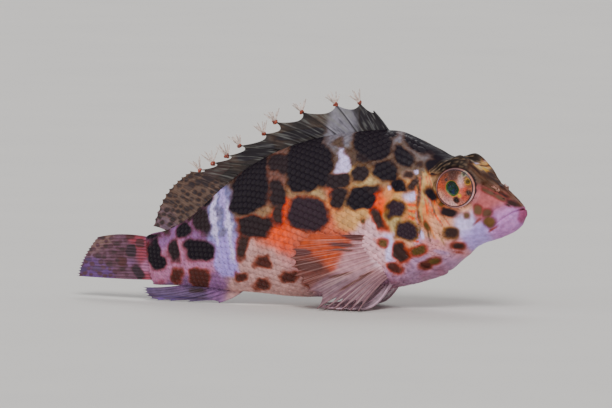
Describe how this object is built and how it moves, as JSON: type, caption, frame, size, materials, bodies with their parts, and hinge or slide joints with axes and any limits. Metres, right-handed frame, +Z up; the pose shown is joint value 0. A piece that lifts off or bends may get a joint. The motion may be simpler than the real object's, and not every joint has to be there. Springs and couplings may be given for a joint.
{
  "type": "coral hawkfish",
  "caption": "Life-size still model of a small spotted coral hawkfish, propped on its pelvic and anal fins with tufted dorsal spines raised",
  "frame": {"origin": "centre of the bounding box's underside, on the floor the fish rests on", "axes": "+X forward towards the snout, +Y to the fish's left, +Z up"},
  "size_m": [0.0884, 0.0234, 0.0385],
  "materials": {
    "skin": "painted cast skin, satin and slightly wet, cream and red with dark blotches",
    "fin": "thin painted fin skin over raised rays, satin",
    "eye": "clear polished eye over an orange-red iris"
  },
  "bodies": {
    "root": {"head": "skin", "torso": "skin", "tail": "skin", "eye_right": "eye", "eye_left": "eye", "dorsal_fin_spiny": "fin", "dorsal_fin_soft": "fin", "caudal_fin": "fin", "anal_fin": "fin", "pectoral_fin_right": "fin", "pectoral_fin_left": "fin", "pelvic_fin_right": "fin", "pelvic_fin_left": "fin"}
  },
  "joints": []
}
